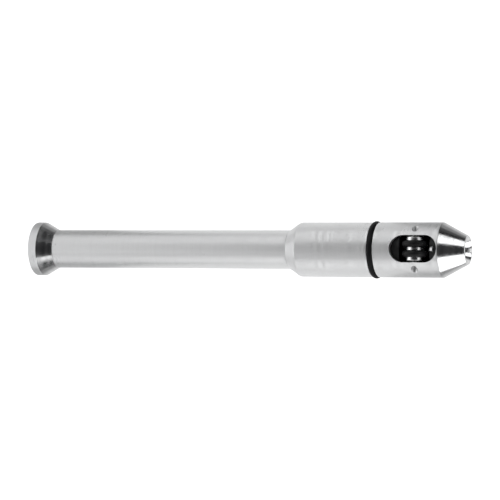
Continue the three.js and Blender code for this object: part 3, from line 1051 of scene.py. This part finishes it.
@dataclass
class Cradle(Assembly):
    """The black insert in the head, and the sprung carriage with its idler.

    Sizes in millimetres, heights from the pen's axis.
    """

    radius: float = 7.8
    start: float = 138.3
    end: float = 160.2
    pocket_half: float = 5.7
    pocket_width: float = 9.9
    guide_bore_r: float = 2.9
    guide_height: float = 1.1
    guide_reach: float = 4.0
    nose_socket_r: float = 5.7
    nose_socket_start: float = 158.3
    shoe_slot_half: float = 1.02
    shoe_slot_reach: float = 7.0
    axle_hole_r: float = 1.2
    pocket_floor: float = -7.1
    carriage_half: float = 3.7
    carriage_width: float = 6.6
    carriage_top: float = 0.75
    carriage_floor: float = -3.45
    carriage_bottom: float = -4.25
    cheek_inside: float = 2.3
    slip: float = 0.3
    idler_r: float = 2.6
    idler_half: float = 2.1
    groove_half: float = 1.2
    idler_bore_r: float = 0.85
    idler_axle_r: float = 0.75
    idler_axle_half: float = 3.2
    travel: float = 2.1
    spring_offset: float = 2.3
    spring_r: float = 0.95
    wire_r: float = 0.175
    spring_turns: float = 3.0

    def build(self) -> None:
        """Makes the cradle's pieces."""
        self.insert()
        self.carriage()
        self.idler()
        for end, sign in (("front", 1), ("rear", -1)):
            self.spring(end, sign)

    def span(self, x: tuple[float, float], y: float, z: tuple[float, float]) -> BMesh:
        """Makes a box in the row frame from stations, a half width and heights in millimetres."""
        origin = self.places.station(0)
        low = origin + Vector((x[0], -y, z[0])) * MM
        high = origin + Vector((x[1], y, z[1])) * MM
        return block(low, high)

    def rod(self, start: float, end: float, radius: float, height: float) -> BMesh:
        """Makes a cylinder along the pen, as a cutter."""
        centre = self.places.station(0) + Vector((0, 0, height * MM))
        return place(cylinder(start, end, radius, 64), centre)

    def pocket(self, back: float, front: float, half: float, floor: float) -> BMesh:
        """Makes a cutter about the roller's station, from a floor up through the insert's top."""
        middle = self.places.roller_station
        return self.span((middle + back, middle + front), half, (floor, self.radius + 2))

    def insert(self) -> None:
        """Black plastic insert with a pocket for the roller and a deeper one for the carriage."""
        s = self
        body = cylinder(s.start, s.end, s.radius, 96, 0.3)
        place(body, self.places.station(0))
        reach = s.radius + 4.2
        hole = cylinder(-reach, reach, s.axle_hole_r, 32)
        place(hole, self.places.roller, Axis.ACROSS)
        cutters = [
            self.pocket(-s.pocket_half, s.pocket_half, s.pocket_width / 2, s.guide_height),
            self.pocket(-s.guide_reach, s.guide_reach, s.carriage_width / 2 + s.slip, s.pocket_floor),
            self.pocket(s.pocket_half - 1, s.shoe_slot_reach, s.shoe_slot_half, s.guide_height),
            hole,
            self.rod(s.start - 1, s.end + 1, s.guide_bore_r, s.guide_height),
            self.rod(s.nose_socket_start, s.end + 1, s.nose_socket_r, 0),
        ]
        bm = carve(body, cutters)
        self.add("roller_cradle", "body", "black_acetal", bm, self.finishes.plastic)

    def carriage(self) -> None:
        """U-shaped carriage that the rod presses down, and the idler's axle in its cheeks."""
        s = self
        middle = self.places.roller_station
        half = s.carriage_width / 2
        reach = s.carriage_half
        body = self.span((middle - reach, middle + reach), half, (s.carriage_bottom, s.carriage_top))
        round_edges(body, sharp_edges(body), 0.2 * MM)
        slot = self.span(
            (middle - reach - 1, middle + reach + 1), s.cheek_inside, (s.carriage_floor, s.carriage_top + 1)
        )
        hole = cylinder(-half - 1, half + 1, s.idler_axle_r + 0.07, 40)
        place(hole, self.places.idler, Axis.ACROSS)
        bm = carve(body, [slot, hole])
        self.add("pressure_carriage", "pressure_carriage", "black_acetal", bm, self.finishes.plastic)
        pin = cylinder(-s.idler_axle_half, s.idler_axle_half, s.idler_axle_r, 40, 0.12)
        place(pin, self.places.idler, Axis.ACROSS)
        self.add("idler_axle", "pressure_carriage", "steel", pin, self.finishes.idler)

    def idler(self) -> None:
        """Steel wheel with a V groove under the rod."""
        s = self
        bm = turn([
            Corner(-s.idler_half, s.idler_bore_r, 0.06),
            Corner(-s.idler_half, s.idler_r, 0.15),
            Corner(-s.groove_half, s.idler_r, 0.08),
            Corner(0, s.idler_r - s.groove_half, 0.12),
            Corner(s.groove_half, s.idler_r, 0.08),
            Corner(s.idler_half, s.idler_r, 0.15),
            Corner(s.idler_half, s.idler_bore_r, 0.06),
        ], 72)
        place(bm, self.places.idler, Axis.ACROSS)
        self.add("idler_wheel", "idler_wheel", "steel", bm, self.finishes.idler)

    def spring(self, end: str, sign: int) -> None:
        """Coil spring from the cradle's floor to the carriage, made at rest: it does not flatten as the
        carriage goes down.
        """
        s = self
        gap = s.wire_r + 0.05
        height = s.carriage_bottom - s.pocket_floor - 2 * gap
        foot = self.places.station(self.places.roller_station + sign * s.spring_offset)
        foot.z += (s.pocket_floor + gap) * MM
        bm = coil(s.spring_r * MM, s.wire_r * MM, height * MM, s.spring_turns)
        shift(bm, foot)
        piece = self.add("pressure_spring_" + end, "body", "spring_steel", bm, self.finishes.wire)
        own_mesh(piece)


# ---------------------------------------------------------------- the studio


@dataclass(frozen=True)
class Panel:
    """A rectangular light. Its radiance is what a mirror in front of it shows."""

    name: str
    centre: Iterable[float]
    direction: Iterable[float]
    size: tuple[float, float]
    radiance: float
    along: Iterable[float] = (1, 0, 0)

    def build(self) -> None:
        """Adds the light. Its direction leads from what it lights to it, and its length runs along."""
        light = bpy.data.lights.new(self.name, "AREA")
        light.shape = "RECTANGLE"
        light.size, light.size_y = self.size
        light.energy = self.radiance * math.pi * self.size[0] * self.size[1]
        along = Vector(self.along)
        back = Vector(self.direction)
        lamp = bpy.data.objects.new(self.name, light)
        lamp.location = self.centre
        lamp.rotation_mode = "QUATERNION"
        lamp.rotation_quaternion = Matrix((along, back.cross(along), back)).transposed().to_quaternion()
        lamp.visible_camera = False
        bpy.context.scene.collection.objects.link(lamp)


@dataclass(frozen=True)
class Softbox:
    """A long soft light beside the pen, from one angle round the pen's axis to another."""

    name: str
    start_deg: float
    end_deg: float
    left: float
    right: float
    radiance: float
    distance: float = 0.6

    def build(self, lean_deg: float) -> None:
        """Adds the light, facing the pen's axis.

        Args:
            lean_deg: how far the camera, from which the angles count, leans from straight up to -Y.
        """
        middle = math.radians((self.start_deg + self.end_deg) / 2 - lean_deg)
        half_width = self.distance * math.tan(math.radians(abs(self.end_deg - self.start_deg) / 2))
        direction = Vector((0, math.sin(middle), math.cos(middle)))
        centre = direction * self.distance + Vector(((self.left + self.right) / 2, 0, 0))
        size = (self.right - self.left, 2 * half_width)
        Panel(self.name, centre, direction, size, self.radiance).build()


@dataclass
class Studio:
    """Camera, floor and lights. A ramp gives two places and the value at each of them."""

    lens: float = 183.3
    distance: float = 0.9408
    swing_deg: float = 20.5
    roll_deg: float = 0.17
    lean_deg: float = 3.2
    look_station: float = 85.98
    rise: float = 0.00019
    softboxes: tuple[Softbox, ...] = (
        Softbox("upper box", 31, 90, -0.24, 0.05, 1.42),
        Softbox("upper box, tail end", 31, 90, -0.6, -0.24, 0.85),
        Softbox("upper box, weak glow", 38, 66, 0.25, 0.42, 0.12),
        Softbox("upper box, nose end", 32.5, 75, 0.42, 0.95, 1.5),
        Softbox("lower box, inner", -42, -12, -0.6, 0.02, 0.45),
        Softbox("lower box", -95, -42, -0.24, 0.05, 1.6),
        Softbox("lower box, tail end", -95, -42, -0.6, -0.24, 0.9),
        Softbox("lower box, middle", -95, -40, 0.19, 0.42, 1.0),
        Softbox("lower box, nose end", -95, -35, 0.42, 0.95, 1.7),
    )
    panels: tuple[Panel, ...] = (
        Panel("tail panel", (-0.25, 0, 0.3), (0, 0, 1), (0.33, 0.28), 0.68),
        Panel("tail wall", (-0.5, 0, 0.27), (-1, 0, 0), (0.6, 0.54), 1.25, (0, 1, 0)),
        Panel("nose wall", (0.6, 0, 0.2), (1, 0, 0), (0.3, 0.36), 0.9, (0, 1, 0)),
        Panel("nose card", (0.34, -0.212, 0.002), (0, 0, -1), (0.5, 0.37), 1.6),
    )
    floor_half: float = 3.0
    floor_gap: float = 0.15
    # floor_pale is the floor's colour to the camera and floor_reflected its darker colour in reflections;
    # glow_seen is the even glow the camera sees, while glow_near, glow_beside and the pool ramps paint
    # pools of light round the pen that show only in reflections and shine on the pen
    floor_pale: Colour = (0.6, 0.6, 0.6, 1.0)
    floor_reflected: Colour = (0.07, 0.07, 0.07, 1.0)
    glow_seen: float = 0.95
    glow_near: Ramp = (0.012, 0.035, 0.7, 0.02)
    glow_beside: Ramp = (0.05, 0.062, 0.2, 0.0)
    pool_slant: float = 0.39
    pool_start: Ramp = (-0.08, -0.06, 0.0, 0.95)
    pool_end: Ramp = (0.05, 0.058, 1.0, 0.0)
    pool_side: Ramp = (0.15, 0.25, 1.0, 0.0)

    def build(self, places: Places) -> None:
        """Sets up everything round the pen."""
        self.camera(places)
        self.floor()
        self.world()
        for box in self.softboxes:
            box.build(self.lean_deg)
        for panel in self.panels:
            panel.build()
        bpy.context.scene.view_settings.view_transform = "Standard"

    def camera(self, places: Places) -> None:
        """Adds the camera, swung towards the nose and nearly overhead."""
        data = bpy.data.cameras.new("camera")
        data.lens = self.lens
        data.sensor_width = 36.0
        data.clip_end = 20.0
        camera = bpy.data.objects.new("camera", data)
        turned = (
            Matrix.Rotation(math.radians(self.lean_deg), 3, "X")
            @ Matrix.Rotation(math.radians(self.roll_deg), 3, "Z")
            @ Matrix.Rotation(math.radians(self.swing_deg), 3, "Y")
        )
        camera.rotation_mode = "QUATERNION"
        camera.rotation_quaternion = turned.to_quaternion()
        camera.location = (
            places.station(self.look_station) + turned @ Vector((0, -self.rise, self.distance))
        )
        bpy.context.scene.collection.objects.link(camera)
        bpy.context.scene.camera = camera

    def floor(self) -> None:
        """Adds a plain pale floor that glows evenly white to the camera; in reflections and as light on the
        pen it is dark, with a painted pool of light glowing under the pen and beside it.
        """
        bm = bmesh.new()
        bmesh.ops.create_grid(bm, x_segments=1, y_segments=1, size=self.floor_half)
        shift(bm, (0, 0, -self.floor_gap * MM))
        floor = new_object("floor", bm)
        material = bpy.data.materials.new("Pale floor with painted light pool")
        material.use_nodes = True
        tree = Tree(material.node_tree)
        shader = material.node_tree.nodes["Principled BSDF"]
        place = tree.node("ShaderNodeTexCoord").outputs["Object"]
        parts = tree.node("ShaderNodeSeparateXYZ", Vector=place).outputs
        across = tree.math("ABSOLUTE", parts["Y"])
        near = tree.span(across, *self.glow_near)
        beside = tree.span(across, *self.glow_beside)
        slanted = tree.math("SUBTRACT", parts["X"], tree.math("MULTIPLY", across, self.pool_slant))
        start = tree.span(slanted, *self.pool_start)
        pool = tree.math("MULTIPLY", start, tree.span(parts["X"], *self.pool_end))
        pool = tree.math("MULTIPLY", pool, tree.span(across, *self.pool_side))
        # painted pool of light round the pen, seen only in reflections and shining on the pen
        lit = tree.math("MAXIMUM", near, tree.math("MAXIMUM", pool, beside))
        seen = tree.node("ShaderNodeLightPath").outputs["Is Camera Ray"]
        glow = tree.node("ShaderNodeMix", {"data_type": "FLOAT"}, Factor=seen, A=lit, B=self.glow_seen)
        tree.feed(shader.inputs["Base Color"], tree.mix(seen, self.floor_reflected, self.floor_pale))
        tree.feed(shader.inputs["Roughness"], 0.9)
        tree.feed(shader.inputs["Specular IOR Level"], 0.1)
        tree.feed(shader.inputs["Emission Color"], (1.0, 1.0, 1.0, 1.0))
        tree.feed(shader.inputs["Emission Strength"], glow.outputs[0])
        floor.data.materials.append(material)

    def world(self) -> None:
        """Makes the room round the lights dark."""
        world = bpy.data.worlds.new("Dark room")
        world.use_nodes = True
        world.node_tree.nodes["Background"].inputs["Color"].default_value = (0.015, 0.015, 0.016, 1.0)
        bpy.context.scene.world = world


def main() -> None:
    """Builds the pen and its studio."""
    logging.basicConfig(level=logging.INFO, format="%(name)s %(message)s")
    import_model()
    places = Places.read()
    Studio().build(places)
    finishes = Finishes(places)
    for part in (Body, Nose, ThumbRoller, Cradle):
        part(places, finishes).build()
        LOG.info("%s built", part.__name__)


if __name__ == "__main__":
    main()
